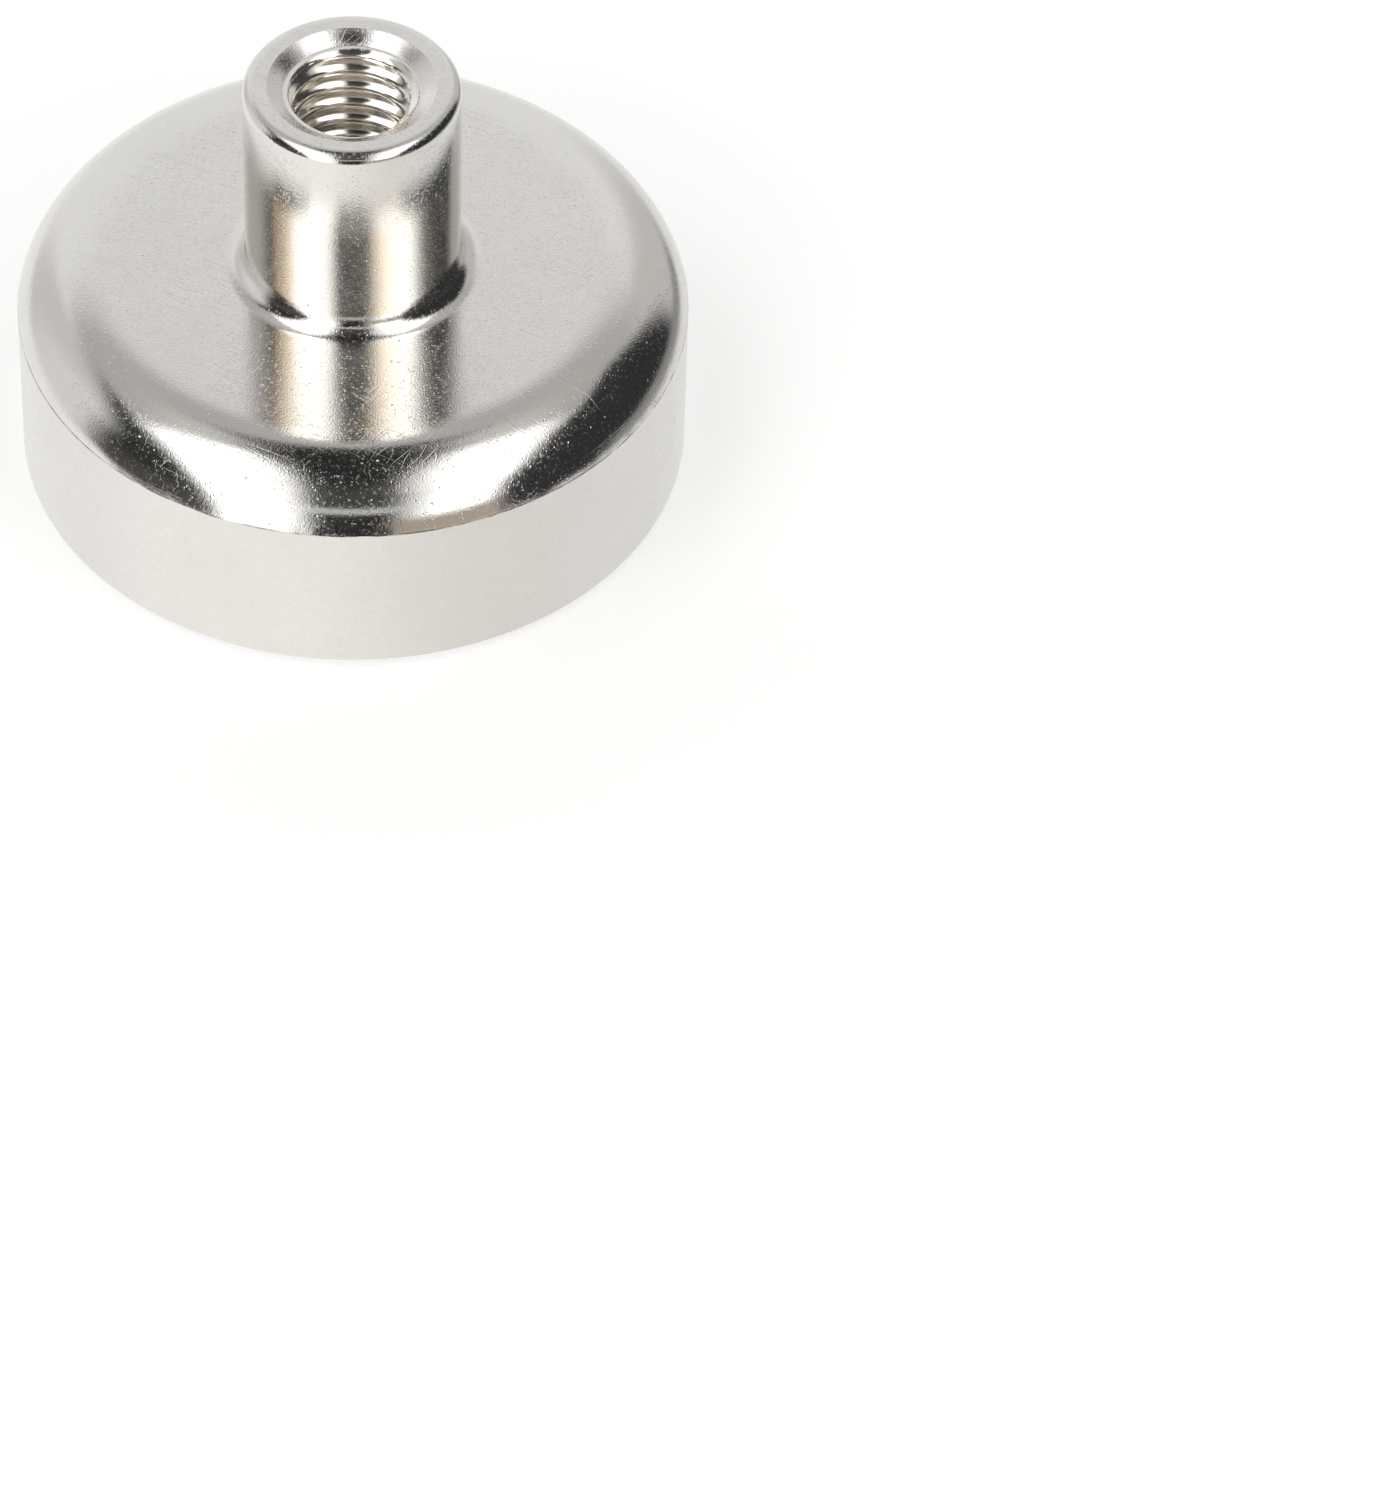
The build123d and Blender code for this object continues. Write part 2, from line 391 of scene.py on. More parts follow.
def build_epoxy():
    """The adhesive: an uneven skin in both seams, down to the bed behind the magnet and the ring."""
    n = 720
    th = np.arange(n) * 2 * math.pi / n
    inner = np.array([inner_radius(t) for t in th])
    lump = wobble(n, 11.0, 6.0, 4)
    lump2 = wobble(n, 12.0, 9.0, 4)
    z0 = SEAM_Z
    pz, pr, pf = POCKET_Z, POCKET_R, POCKET_FILLET
    eps = 0.004
    # inner seam: between the magnet and the ring
    ri, ro = MAGNET_R + eps, inner - eps
    mid = (ri + ro) / 2
    zi = z0 + 0.05 * (1 + lump)
    # outer seam: between the ring and the cup
    qi, qo = RING_OUT_R + eps, pr - eps
    zo = z0 + 0.03 + 0.05 * lump2
    rings = [
        # bed, back face
        [(0, 0, pz - eps)],
        ring(pr - pf, pz - eps, n),
        ring(pr - pf + pf * 0.3827 - eps, pz - pf + pf * 0.9239 - eps, n),
        ring(pr - pf + pf * 0.7071 - eps, pz - pf + pf * 0.7071 - eps, n),
        ring(pr - pf + pf * 0.9239 - eps, pz - pf + pf * 0.3827 - eps, n),
        ring(qo, pz - pf, n),
        # outer seam's skin, a shallow meniscus
        ring(qo, zo - 0.03, n),
        ring(qo - 0.06, zo + 0.02, n),
        ring((qi + qo) / 2, zo + 0.04, n),
        ring(qi + 0.05, zo + 0.02, n),
        ring(qi, zo - 0.02, n),
        # down the ring's outside, under its back and up its inside
        ring(qi, MAGNET_BACK_Z + eps, n),
        ring(ro, MAGNET_BACK_Z + eps, n),
        ring(ro, zi - 0.02, n),
        ring(mid + (ro - ri) * 0.2, zi + 0.03, n),
        ring(mid - (ro - ri) * 0.2, zi + 0.03, n),
        ring(ri, zi - 0.02, n),
        # down the magnet's side and across its back
        ring(ri, MAGNET_BACK_Z - MAGNET_EDGE, n),
        ring(ri - MAGNET_EDGE * 0.29, MAGNET_BACK_Z - MAGNET_EDGE * 0.29 + eps, n),
        ring(MAGNET_R - MAGNET_EDGE, MAGNET_BACK_Z + eps, n),
        [(0, 0, MAGNET_BACK_Z + eps)],
    ]
    return rings_to_mesh("adhesive_fill", rings)


pot = build_pot()
magnet = build_magnet()
ringp = build_ring()
epoxy = build_epoxy()


# ----------------------------------------------------------------- materials
class Graph:
    """Short calls for shader nodes."""

    def __init__(self, tree):
        self.t = tree
        self.t.nodes.clear()

    def node(self, kind, **props):
        nd = self.t.nodes.new(kind)
        for k, v in props.items():
            setattr(nd, k, v)
        return nd

    def put(self, sock, value):
        if isinstance(value, bpy.types.NodeSocket):
            self.t.links.new(value, sock)
        else:
            sock.default_value = value

    def math(self, op, a, b=0.0, c=0.0, clamp=False):
        nd = self.node("ShaderNodeMath", operation=op, use_clamp=clamp)
        self.put(nd.inputs[0], a)
        self.put(nd.inputs[1], b)
        self.put(nd.inputs[2], c)
        return nd.outputs[0]

    def dot(self, vec, n):
        nd = self.node("ShaderNodeVectorMath", operation="DOT_PRODUCT")
        self.put(nd.inputs[0], vec)
        nd.inputs[1].default_value = n
        return nd.outputs["Value"]

    def step(self, x, lo, hi):
        """0 below lo and 1 above hi, smooth between; lo may be the larger one."""
        nd = self.node("ShaderNodeMapRange", interpolation_type="SMOOTHSTEP", clamp=True)
        self.put(nd.inputs["Value"], x)
        if lo < hi:
            f, t, a, b = lo, hi, 0.0, 1.0
        else:
            f, t, a, b = hi, lo, 1.0, 0.0
        nd.inputs["From Min"].default_value = f
        nd.inputs["From Max"].default_value = t
        nd.inputs["To Min"].default_value = a
        nd.inputs["To Max"].default_value = b
        return nd.outputs["Result"]

    def remap(self, x, f0, f1, t0, t1):
        nd = self.node("ShaderNodeMapRange", clamp=True)
        self.put(nd.inputs["Value"], x)
        for k, v in zip(("From Min", "From Max", "To Min", "To Max"), (f0, f1, t0, t1)):
            nd.inputs[k].default_value = v
        return nd.outputs["Result"]

    def times(self, *xs):
        out = xs[0]
        for x in xs[1:]:
            out = self.math("MULTIPLY", out, x)
        return out

    def mix(self, a, b, fac):
        nd = self.node("ShaderNodeMix", data_type="RGBA", blend_type="MIX")
        self.put(nd.inputs["Factor"], fac)
        ins = [s for s in nd.inputs if s.type == "RGBA"]
        for s, v in zip(ins, (a, b)):
            if isinstance(v, bpy.types.NodeSocket):
                self.t.links.new(v, s)
            else:
                s.default_value = (*v, 1.0)
        return [s for s in nd.outputs if s.type == "RGBA"][0]

    def noise(self, vec, scale, detail=2.0, rough=0.5, distort=0.0):
        nd = self.node("ShaderNodeTexNoise")
        self.put(nd.inputs["Vector"], vec)
        nd.inputs["Scale"].default_value = scale
        nd.inputs["Detail"].default_value = detail
        nd.inputs["Roughness"].default_value = rough
        nd.inputs["Distortion"].default_value = distort
        return nd.outputs["Fac"]

    def cells(self, vec, scale):
        """Distance to the nearest of a set of scattered points, and two random values of that point."""
        nd = self.node("ShaderNodeTexVoronoi", feature="F1")
        self.put(nd.inputs["Vector"], vec)
        nd.inputs["Scale"].default_value = scale
        sep = self.node("ShaderNodeSeparateColor")
        self.put(sep.inputs[0], nd.outputs["Color"])
        return nd.outputs["Distance"], sep.outputs[0], sep.outputs[1]

    def scaled(self, vec, s):
        nd = self.node("ShaderNodeVectorMath", operation="MULTIPLY")
        self.put(nd.inputs[0], vec)
        nd.inputs[1].default_value = s
        return nd.outputs[0]


def new_material(name):
    m = bpy.data.materials.new(name)
    m.use_nodes = True
    g = Graph(m.node_tree)
    tc = g.node("ShaderNodeTexCoord")
    mm = g.scaled(tc.outputs["Object"], (1000.0, 1000.0, 1000.0))
    bsdf = g.node("ShaderNodeBsdfPrincipled")
    out = g.node("ShaderNodeOutputMaterial")
    g.t.links.new(bsdf.outputs[0], out.inputs[0])
    return m, g, mm, bsdf


def bump(g, height, strength=1.0, normal=None):
    """height in mm"""
    nd = g.node("ShaderNodeBump")
    nd.inputs["Strength"].default_value = strength
    nd.inputs["Distance"].default_value = MM
    g.put(nd.inputs["Height"], height)
    if normal is not None:
        g.put(nd.inputs["Normal"], normal)
    return nd.outputs[0]


def nickel_pot():
    m, g, mm, b = new_material("nickel_plate")
    b.inputs["Metallic"].default_value = 1.0
    sep = g.node("ShaderNodeSeparateXYZ")
    g.put(sep.inputs[0], mm)
    x, y, z = sep.outputs
    rad = g.math("SQRT", g.math("ADD", g.math("MULTIPLY", x, x), g.math("MULTIPLY", y, y)))
    # where the wall, the seat, the countersink and the hole were cut
    on_wall = g.times(g.step(z, 6.72, 6.66), g.step(rad, 12.2, 12.45))
    on_rim = g.step(z, 0.35, 0.25)
    on_seat = g.step(z, 17.30, 17.42)
    on_cone = g.times(g.step(rad, 3.13, 3.07), g.step(z, 17.11, 17.16))
    in_bore = g.times(g.step(rad, 2.75, 2.45), g.step(z, 17.10, 17.06))
    on_ledge = g.times(g.step(rad, 2.66, 2.56), g.step(z, 17.07, 17.10))
    # colour: a warm light nickel with faint clouding
    cloud = g.noise(mm, 0.35, 3.0, 0.55)
    pink = g.noise(mm, 0.9, 2.0, 0.5, 0.3)
    base = g.mix((0.812, 0.797, 0.763), (0.844, 0.831, 0.801), g.remap(cloud, 0.3, 0.7, 0.0, 1.0))
    base = g.mix(base, (0.855, 0.814, 0.796), g.remap(pink, 0.5, 0.75, 0.0, 0.6))
    mottle = g.remap(g.noise(mm, 3.0, 3.0, 0.7), 0.3, 0.7, 0.0, 0.45)
    base = g.mix(base, (0.765, 0.750, 0.722), g.times(mottle, g.math("ADD", 0.5, g.times(on_wall, 0.5))))
    # painted shade: a dark line painted along the crease, broken up by noise
    crease_shade = g.times(g.step(g.math("ABSOLUTE", g.math("SUBTRACT", z, CREASE_Z)), 0.050, 0.020), g.step(rad, 12.3, 12.4),
                   g.step(g.noise(mm, 1.1, 2.0, 0.6), 0.30, 0.62))
    base = g.mix(base, (0.15, 0.145, 0.138), g.times(crease_shade, 0.75))
    # painted light: the countersink and the hole get lighter copies of the nickel, and the hole a little less metal,
    # standing in for brightness the lights don't give there
    base = g.mix(base, (0.91, 0.885, 0.86), on_cone)
    base = g.mix(base, (0.98, 0.945, 0.885), in_bore)
    base = g.mix(base, (0.90, 0.89, 0.87), on_ledge)
    g.put(b.inputs["Metallic"], g.math("SUBTRACT", 1.0, g.times(in_bore, 0.05)))
    g.put(b.inputs["Base Color"], base)
    # a fine grain with scattered pits and nibs of two sizes
    fine = g.noise(mm, 13.0, 2.0, 0.6)
    slow = g.noise(mm, 0.55, 2.0, 0.5)
    dist, pick, size = g.cells(mm, 10.0)
    crowd = g.remap(g.noise(mm, 0.9, 2.0, 0.6), 0.35, 0.65, 0.88, 0.50)
    nib = g.times(g.step(dist, 0.42, 0.06), g.step(g.math("SUBTRACT", pick, crowd), 0.0, 0.08), size)
    dist2, pick2, size2 = g.cells(mm, 3.6)
    pit = g.times(g.step(dist2, 0.20, 0.04), g.step(pick2, 0.80, 0.86), size2)
    # hairline scratches in two directions
    marks = []
    for turn, offset in ((0.5, 3.1), (-0.9, 7.7)):
        rot = g.node("ShaderNodeVectorRotate", rotation_type="Z_AXIS")
        g.put(rot.inputs["Vector"], mm)
        rot.inputs["Angle"].default_value = turn
        add = g.node("ShaderNodeVectorMath", operation="ADD")
        g.put(add.inputs[0], g.scaled(rot.outputs[0], (0.10, 1.9, 1.9)))
        add.inputs[1].default_value = (offset, offset, offset)
        line = g.math("ABSOLUTE", g.math("SUBTRACT", g.noise(add.outputs[0], 1.0, 1.0, 0.5), 0.5))
        marks.append(g.times(g.step(line, 0.014, 0.004), g.step(g.noise(mm, 0.33, 1.0, 0.5), 0.55, 0.65)))
    scratch = g.math("ADD", marks[0], marks[1], clamp=True)
    # turning marks, round the axis
    ang = g.math("ARCTAN2", y, x)

    def turning(per_mm):
        comb = g.node("ShaderNodeCombineXYZ")
        g.put(comb.inputs[0], g.math("MULTIPLY", rad, per_mm))
        g.put(comb.inputs[1], g.math("MULTIPLY", z, per_mm))
        g.put(comb.inputs[2], g.math("MULTIPLY", g.math("SINE", ang), 0.6))
        return g.noise(comb.outputs[0], 1.0, 3.0, 0.6)

    turned = g.math("ADD", g.math("ADD", on_wall, on_rim, clamp=True), g.times(on_seat, 0.7), clamp=True)
    h = g.math("MULTIPLY", fine, 0.0030)
    h = g.math("ADD", h, g.times(nib, g.math("SUBTRACT", 1.0, g.times(turned, 0.7)), 0.0048))
    h = g.math("SUBTRACT", h, g.times(pit, 0.0120))
    h = g.math("SUBTRACT", h, g.times(scratch, 0.0015))
    h = g.math("ADD", h, g.math("MULTIPLY", slow, 0.004))
    h = g.math("ADD", h, g.times(turning(14.0), turned, 0.0035))
    h = g.math("ADD", h, g.times(g.noise(mm, 5.0, 3.0, 0.7), on_rim, 0.022))
    h = g.math("ADD", h, g.times(turning(26.0), on_cone, 0.0022))
    h = g.math("MULTIPLY", h, g.math("SUBTRACT", 1.0, g.times(in_bore, 0.85)))
    g.put(b.inputs["Normal"], bump(g, h))
    spots = g.step(g.noise(mm, 8.5, 2.0, 0.6), 0.55, 0.67)
    rough = g.remap(g.noise(mm, 3.0, 3.0, 0.6), 0.3, 0.7, 0.09, 0.145)
    rough = g.math("ADD", rough, g.times(spots, g.math("SUBTRACT", 1.0, in_bore), 0.145))
    rough = g.math("ADD", rough, g.times(turned, 0.10))
    rough = g.math("SUBTRACT", rough, g.times(on_rim, 0.09))
    rough = g.math("ADD", rough, g.times(on_cone, 0.06))
    rough = g.math("SUBTRACT", rough, g.times(in_bore, 0.02))
    rough = g.math("ADD", rough, g.times(on_ledge, 0.12))
    g.put(b.inputs["Roughness"], rough)
    return m


def nickel_magnet():
    m, g, mm, b = new_material("magnet_plate")
    b.inputs["Metallic"].default_value = 1.0
    cloud = g.noise(mm, 0.4, 3.0, 0.55)
    base = g.mix((0.79, 0.77, 0.735), (0.82, 0.805, 0.77), g.remap(cloud, 0.3, 0.7, 0.0, 1.0))
    g.put(b.inputs["Base Color"], base)
    grain = g.noise(mm, 5.5, 3.0, 0.65)
    fine = g.noise(mm, 13.0, 2.0, 0.5)
    h = g.math("ADD", g.math("MULTIPLY", grain, 0.026), g.math("MULTIPLY", fine, 0.007))
    g.put(b.inputs["Normal"], bump(g, h))
    g.put(b.inputs["Roughness"], g.remap(g.noise(mm, 3.0, 3.0, 0.6), 0.3, 0.7, 0.17, 0.27))
    return m


def plastic_ring():
    m, g, mm, b = new_material("milky_plastic")
    cloud = g.noise(mm, 0.7, 3.0, 0.6)
    base = g.mix((0.60, 0.585, 0.56), (0.70, 0.69, 0.665), g.remap(cloud, 0.3, 0.7, 0.0, 1.0))
    g.put(b.inputs["Base Color"], base)
    b.inputs["Subsurface Weight"].default_value = 0.25
    b.inputs["Subsurface Radius"].default_value = (1.0, 0.8, 0.6)
    b.inputs["Subsurface Scale"].default_value = 0.0006
    g.put(b.inputs["Roughness"], g.remap(g.noise(mm, 4.0, 3.0, 0.6), 0.3, 0.7, 0.32, 0.5))
    h = g.math("ADD", g.math("MULTIPLY", g.noise(mm, 1.4, 2.0, 0.5), 0.02), g.math("MULTIPLY", g.noise(mm, 11.0, 2.0, 0.5), 0.0025))
    g.put(b.inputs["Normal"], bump(g, h))
    return m


def adhesive():
    m, g, mm, b = new_material("cured_adhesive")
    a = g.noise(mm, 1.6, 4.0, 0.6)
    base = g.mix((0.44, 0.33, 0.215), (0.66, 0.55, 0.41), g.remap(a, 0.3, 0.7, 0.0, 1.0))
    g.put(b.inputs["Base Color"], base)
    b.inputs["Subsurface Weight"].default_value = 0.2
    b.inputs["Subsurface Radius"].default_value = (1.0, 0.6, 0.3)
    b.inputs["Subsurface Scale"].default_value = 0.0004
    g.put(b.inputs["Roughness"], g.remap(g.noise(mm, 5.0, 3.0, 0.6), 0.3, 0.7, 0.25, 0.5))
    h = g.math("ADD", g.math("MULTIPLY", g.noise(mm, 2.2, 3.0, 0.6), 0.05), g.math("MULTIPLY", g.noise(mm, 9.0, 2.0, 0.6), 0.006))
    g.put(b.inputs["Normal"], bump(g, h))
    return m


for ob, mat, node, slot in (
    (pot, nickel_pot(), "steel_pot", "pot_nickel"),
    (magnet, nickel_magnet(), "disc_magnet", "magnet_nickel"),
    (ringp, plastic_ring(), "spacer_ring", "ring_plastic"),
    (epoxy, adhesive(), "epoxy_bond", "cured_epoxy"),
):
    ob.data.materials.append(mat)
    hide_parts(node)
    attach(ob, "root")

# --------------------------------------------------------------------- floor
me = bpy.data.meshes.new("floor")
s = 3.0
me.from_pydata([(-s, -s, 0), (s, -s, 0), (s, s, 0), (-s, s, 0)], [], [(0, 1, 2, 3)])
floor = bpy.data.objects.new("floor", me)
scene.collection.objects.link(floor)
floor.location.z = -0.00002
fm = bpy.data.materials.new("pale_floor")
fm.use_nodes = True
g = Graph(fm.node_tree)
fb = g.node("ShaderNodeBsdfPrincipled")
fb.inputs["Base Color"].default_value = (0.78, 0.78, 0.78, 1)
fb.inputs["Roughness"].default_value = 0.9
fb.inputs["Specular IOR Level"].default_value = 0.1
fb.inputs["Emission Color"].default_value = (1.0, 1.0, 1.0, 1)
fb.inputs["Emission Strength"].default_value = 0.47
# beyond the magnet's soft shadow the floor is plain white and needs no shading
place = g.node("ShaderNodeTexCoord")
apart = g.node("ShaderNodeVectorMath", operation="LENGTH")
g.t.links.new(place.outputs["Object"], apart.inputs[0])
white = g.node("ShaderNodeEmission")
white.inputs[0].default_value = (1.0, 1.0, 1.0, 1.0)
white.inputs[1].default_value = 1.04
near = g.node("ShaderNodeMixShader")
g.put(near.inputs[0], g.step(apart.outputs["Value"], 0.0205, 0.0275))
g.t.links.new(fb.outputs[0], near.inputs[1])
g.t.links.new(white.outputs[0], near.inputs[2])
clear = g.node("ShaderNodeBsdfTransparent")
side = g.node("ShaderNodeNewGeometry")
either = g.node("ShaderNodeMixShader")
g.t.links.new(side.outputs["Backfacing"], either.inputs[0])
g.t.links.new(near.outputs[0], either.inputs[1])
g.t.links.new(clear.outputs[0], either.inputs[2])
fo = g.node("ShaderNodeOutputMaterial")
g.t.links.new(either.outputs[0], fo.inputs[0])
floor.data.materials.append(fm)
floor.visible_shadow = False
floor.visible_glossy = False
floor.visible_diffuse = False
floor.visible_transmission = False


# ------------------------------------------------------------ studio lighting
def studio():
    """Two large soft lights in front and overhead with a dark slot between them, dark side flags, a grey back wall and a white table, seen only by reflections and as light; the camera sees a plain pale ground."""
    w = bpy.data.worlds.new("studio")
    scene.world = w
    w.use_nodes = True
    g = Graph(w.node_tree)
    tc = g.node("ShaderNodeTexCoord")
    d = tc.outputs["Generated"]
    sep = g.node("ShaderNodeSeparateXYZ")
    g.put(sep.inputs[0], d)
    x, y, z = sep.outputs

    def sin(deg):
        return math.sin(math.radians(deg))

    def rise(amount, start):
        """amount x (z above start) squared"""
        over = g.math("MAXIMUM", g.math("SUBTRACT", z, start), 0.0)
        return g.math("MULTIPLY", g.math("MULTIPLY", over, over), amount)

    # grey back wall: brightest right behind, darker towards the sides; its top edge is level, so it looks lower at the sides
    wall = g.mix((0.80, 0.80, 0.80), (0.89, 0.895, 0.90), g.step(g.dot(d, (-0.05, 1.0, 0.0)), 0.55, 0.80))
    wall = g.mix(wall, (0.62, 0.61, 0.60), g.times(g.step(x, 0.20, 0.52), g.step(z, sin(44), sin(38))))
    wall = g.mix(wall, (0.68, 0.675, 0.67), g.times(g.step(x, -0.52, -0.66), g.step(x, -0.92, -0.76), g.step(z, sin(44), sin(38))))
    top = g.math("SUBTRACT", z, g.math("MAXIMUM", g.math("MULTIPLY", y, 1.035), 0.62))
    env = g.mix(wall, (0.50, 0.49, 0.48), g.step(top, -0.060, 0.062))
    env = g.mix(env, (0.57, 0.56, 0.55), g.step(z, sin(56), sin(60)))
    env = g.mix(env, (0.70, 0.69, 0.68), g.step(z, sin(60), sin(66)))
    # dark side flags
    low = g.step(z, sin(49.5), sin(45.5))
    right_dark = g.times(g.step(g.dot(d, (0.602, -0.799, 0.0)), -0.06, 0.09), low, g.step(x, 0.0, 0.1))
    env = g.mix(env, (0.033, 0.033, 0.035), right_dark)
    left_back = g.math("SUBTRACT", y, rise(2.9, 0.37))
    left_dark = g.times(g.step(left_back, 0.09, -0.17), low, g.step(x, 0.0, -0.1))
    left_col = g.mix((0.074, 0.071, 0.068), (0.030, 0.029, 0.029), g.step(z, 0.0, 0.34))
    env = g.mix(env, left_col, left_dark)
    # soft lights, with a slow fall-off towards the slot between them
    white = 2.0
    high = g.step(z, 0.80, 0.96)

    def between(lo, hi):
        return g.math("ADD", g.math("MULTIPLY", lo, g.math("SUBTRACT", 1.0, high)), g.math("MULTIPLY", hi, high))

    lp = g.node("ShaderNodeLightPath")
    deep = g.step(lp.outputs["Ray Depth"], 2.4, 2.6)
    wide = g.math("MULTIPLY", deep, 0.018)
    back = g.math("SUBTRACT", y, g.math("MULTIPLY", g.math("MAXIMUM", g.math("SUBTRACT", z, 0.77), 0.0), 0.6))
    dip = g.math("MULTIPLY", g.math("MAXIMUM", g.math("SUBTRACT", 0.42, z), 0.0), 0.115)
    l_out = g.math("ADD", g.math("SUBTRACT", g.math("SUBTRACT", x, rise(1.5, 0.58)), dip), g.math("ADD", wide, 0.003))
    l_in = between(g.step(x, -0.12, -0.42), g.step(x, -0.12, -0.34))
    left = g.times(g.step(l_out, -0.758, -0.653), l_in, g.step(back, 0.085, -0.035))
    env = g.mix(env, (white, white, white * 0.99), left)
    r_out = g.math("SUBTRACT", g.math("ADD", x, rise(2.0, 0.66)), g.math("MULTIPLY", g.step(z, 0.40, 0.62), 0.022))
    r_out = g.math("ADD", r_out, g.math("MULTIPLY", g.math("MAXIMUM", g.math("SUBTRACT", z, 0.60), 0.0), 0.12))
    r_out = g.math("ADD", r_out, g.math("MULTIPLY", g.math("MAXIMUM", g.math("ADD", y, 0.25), 0.0), 0.10))
    r_out = g.math("SUBTRACT", r_out, g.math("MULTIPLY", wide, 1.4))
    r_in = between(g.step(x, 0.10, 0.50), g.step(x, 0.145, 0.38))
    right = g.times(g.step(r_out, 0.714, 0.614), r_in, g.step(back, 0.11, -0.01))
    env = g.mix(env, (white, white, white * 0.99), right)
    # the slot between them, with one pale strip low down
    narrow = g.math("MULTIPLY", g.step(y, 0.20, 0.34), 0.06)
    slot = g.times(g.step(g.math("SUBTRACT", x, narrow), -0.26, -0.17), g.step(g.math("ADD", x, narrow), 0.24, 0.14), g.step(y, 0.52, 0.42))
    slot_col = g.mix((0.020, 0.020, 0.020), (0.060, 0.059, 0.058), g.step(z, sin(75), sin(50)))
    slot_col = g.mix(slot_col, (0.026, 0.026, 0.026), g.step(z, sin(34), sin(18)))
    slot_col = g.mix(slot_col, (0.67, 0.67, 0.655), g.times(g.step(z, sin(20.5), sin(23.5)), g.step(z, sin(31), sin(28.5))))
    slot_col = g.mix(slot_col, (0.76, 0.75, 0.735), g.times(deep, g.step(z, sin(41.5), sin(35.0)), g.step(z, sin(28), sin(33))))
    front = g.math("MAXIMUM", g.step(y, 0.0, -0.1), g.step(z, sin(58), sin(63)))
    env = g.mix(env, slot_col, g.times(slot, front))
    # a tan card low on the right
    tan = g.times(g.step(z, sin(14), sin(7)), g.step(x, 0.13, 0.24), g.step(x, 0.74, 0.64), g.step(y, -0.3, -0.5))
    env = g.mix(env, (0.47, 0.41, 0.335), tan)
    # warm rims of the lights, only where their lower mounts show
    band = g.times(g.step(z, sin(41.4), sin(42.4)), g.step(z, sin(46.6), sin(45.6)), g.step(y, 0.25, 0.15), deep)
    rim_l = g.times(g.step(y, -0.36, -0.20), g.step(x, -0.45, -0.60))
    rim_r = g.times(g.step(x, 0.12, 0.20), g.step(x, 0.64, 0.40))
    env = g.mix(env, (0.95, 0.78, 0.52), g.times(band, rim_l, g.step(y, 0.16, 0.04), 0.30))
    rim = g.times(band, g.math("ADD", rim_l, rim_r, clamp=True))
    tint = g.node("ShaderNodeMix", data_type="RGBA", blend_type="MULTIPLY")
    tin = [k for k in tint.inputs if k.type == "RGBA"]
    g.put(tint.inputs["Factor"], rim)
    g.put(tin[0], env)
    tin[1].default_value = (1.12, 0.82, 0.48, 1.0)
    env = [k for k in tint.outputs if k.type == "RGBA"][0]
    # white table, a little warmer in front and darker on the right
    side = g.dot(d, (0.996, 0.087, 0.0))
    table = g.mix((1.085, 1.085, 1.085), (0.875, 0.875, 0.875), g.step(side, -0.354, 0.566))
    table = g.mix(table, (0.96, 0.96, 0.96), g.times(g.step(y, -0.25, 0.25), g.step(x, 0.1, -0.2), 0.8))
    warm = g.node("ShaderNodeMix", data_type="RGBA", blend_type="MULTIPLY")
    win = [k for k in warm.inputs if k.type == "RGBA"]
    g.put(warm.inputs["Factor"], g.step(y, 0.1, -0.45))
    g.put(win[0], table)
    win[1].default_value = (1.0, 0.98, 0.955, 1.0)
    table = [k for k in warm.outputs if k.type == "RGBA"][0]
    # low on the right the table's edge is lost in grey
    haze = g.step(g.dot(d, (0.906, 0.423, 0.0)), 0.78, 0.90)
    env = g.mix(env, (0.30, 0.295, 0.29), g.times(haze, g.step(z, sin(-1), sin(-8))))
    in_front = g.step(y, -0.05, -0.25)
    edge = g.math("ADD", z, g.math("MULTIPLY", in_front, 0.060))
    edge = g.math("ADD", edge, g.math("MULTIPLY", haze, 0.120))
    edge = g.math("ADD", edge, g.times(g.step(x, -0.26, -0.17), g.step(x, 0.24, 0.14), in_front, 0.070))
    env = g.mix(env, table, g.step(edge, sin(-5), sin(-15)))

    light = g.node("ShaderNodeBackground")
    g.put(light.inputs[0], env)
    light.inputs[1].default_value = 0.924
    plain = g.node("ShaderNodeBackground")
    plain.inputs[0].default_value = (0.985, 0.985, 0.985, 1.0)
    mixs = g.node("ShaderNodeMixShader")
    g.put(mixs.inputs[0], lp.outputs["Is Camera Ray"])
    g.t.links.new(light.outputs[0], mixs.inputs[1])
    g.t.links.new(plain.outputs[0], mixs.inputs[2])
    out = g.node("ShaderNodeOutputWorld")
    g.t.links.new(mixs.outputs[0], out.inputs[0])


studio()
scene.view_settings.view_transform = "Standard"
scene.view_settings.look = "None"
scene.view_settings.exposure = 0.0
scene.view_settings.gamma = 1.0

# -------------------------------------------------------------------- camera
# Found by fitting the outline of the photographed form: 192 mm lens, 0.30 m away, 44 degrees above the table.
F_PX, DIST, ELEV = 7990.19, 24.2841 * POT_R, 0.7708
T1, T2, ROLL = 0.0404, 0.0423, 0.0061


def camera_axes():
    c = np.array([0, -DIST * math.cos(ELEV), DIST * math.sin(ELEV)])
    fwd = -c / np.linalg.norm(c)
    right = np.array([1.0, 0, 0])
    rw = np.stack([right, np.cross(right, fwd), -fwd])
    rx = np.array([[1, 0, 0], [0, math.cos(T1), -math.sin(T1)], [0, math.sin(T1), math.cos(T1)]])
    ry = np.array([[math.cos(T2), 0, math.sin(T2)], [0, 1, 0], [-math.sin(T2), 0, math.cos(T2)]])
    rz = np.array([[math.cos(ROLL), -math.sin(ROLL), 0], [math.sin(ROLL), math.cos(ROLL), 0], [0, 0, 1]])
    return c, rz @ rx @ ry @ rw


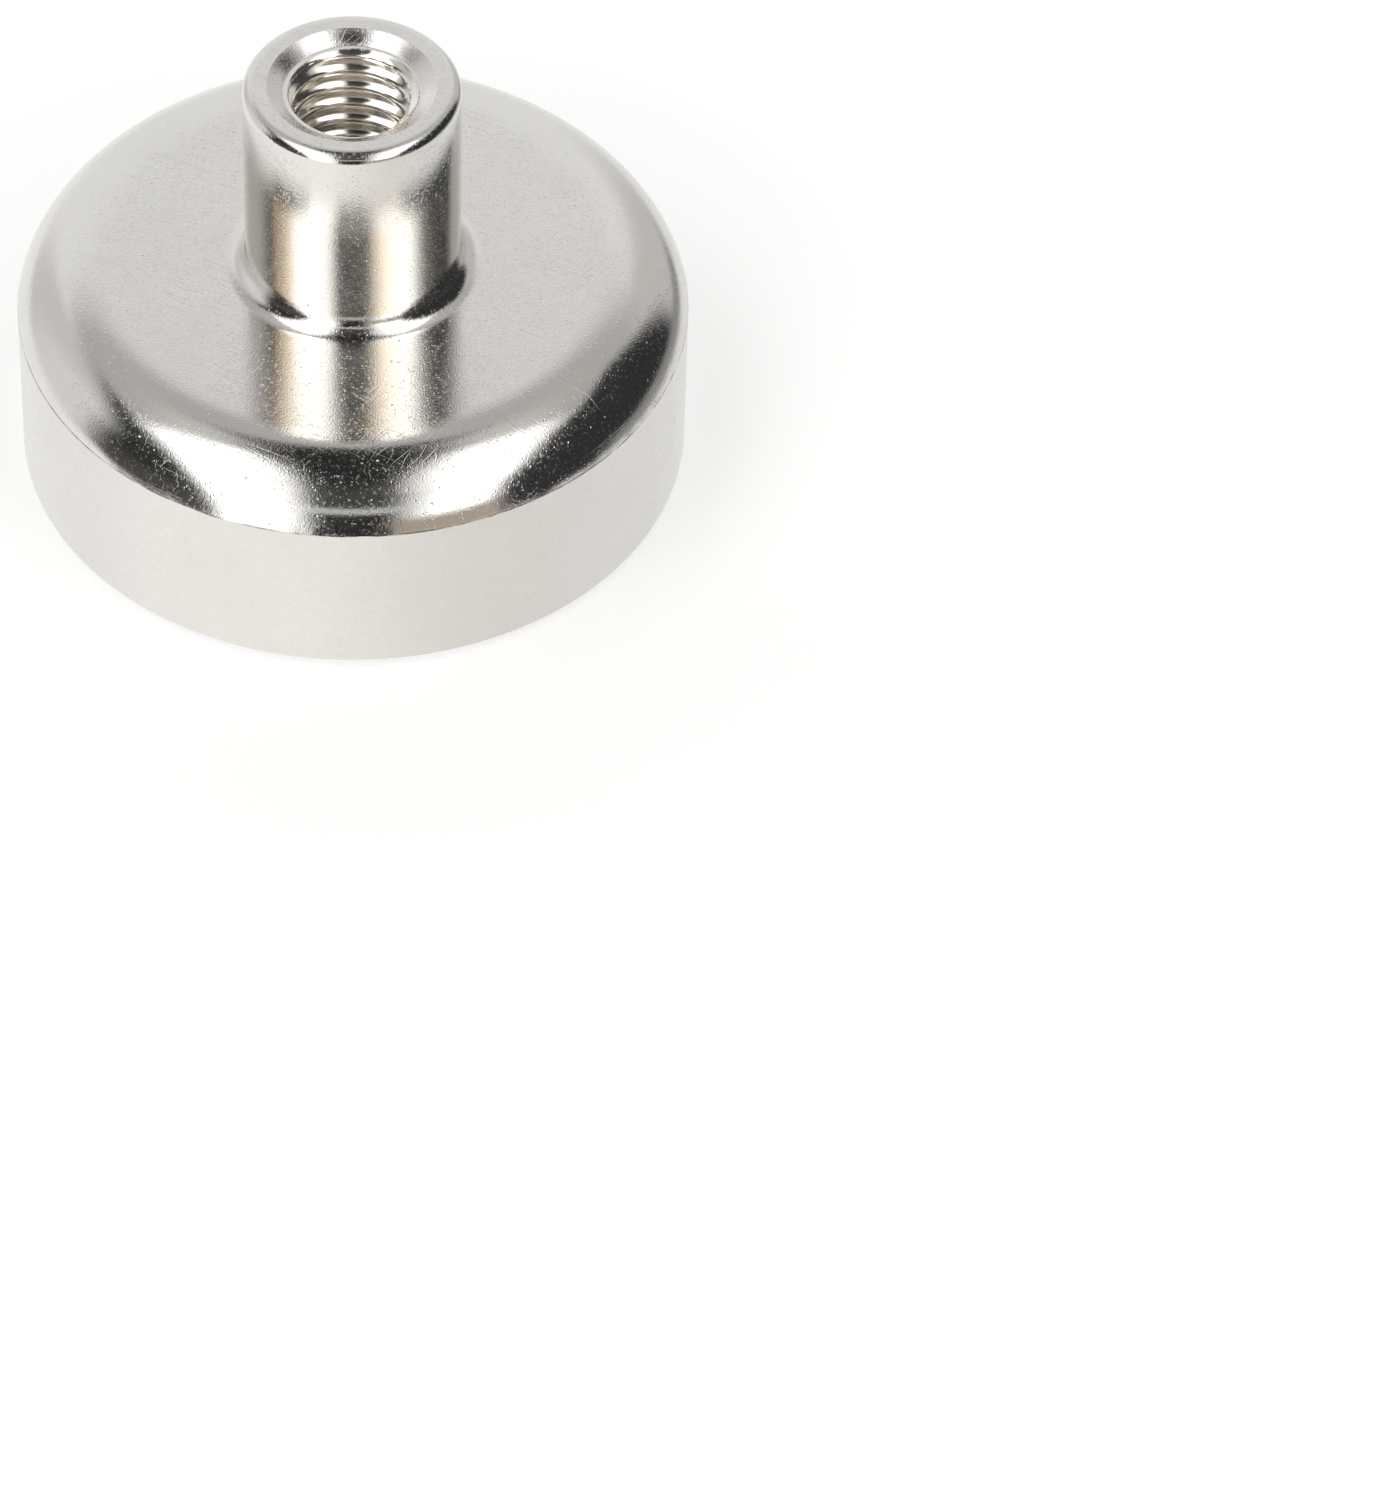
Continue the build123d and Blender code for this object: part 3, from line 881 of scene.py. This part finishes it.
cam_data = bpy.data.cameras.new("camera")
cam = bpy.data.objects.new("camera", cam_data)
scene.collection.objects.link(cam)
pos, axes = camera_axes()
world = Matrix(axes.T.tolist()).to_4x4()
world.translation = Vector(pos * MM)
cam.matrix_world = world
cam_data.sensor_fit = "AUTO"
cam_data.sensor_width = 36.0
cam_data.lens = 36.0 * F_PX / 1500.0
cam_data.clip_start = 0.01
cam_data.clip_end = 50.0
cam_data.dof.use_dof = False
scene.camera = cam
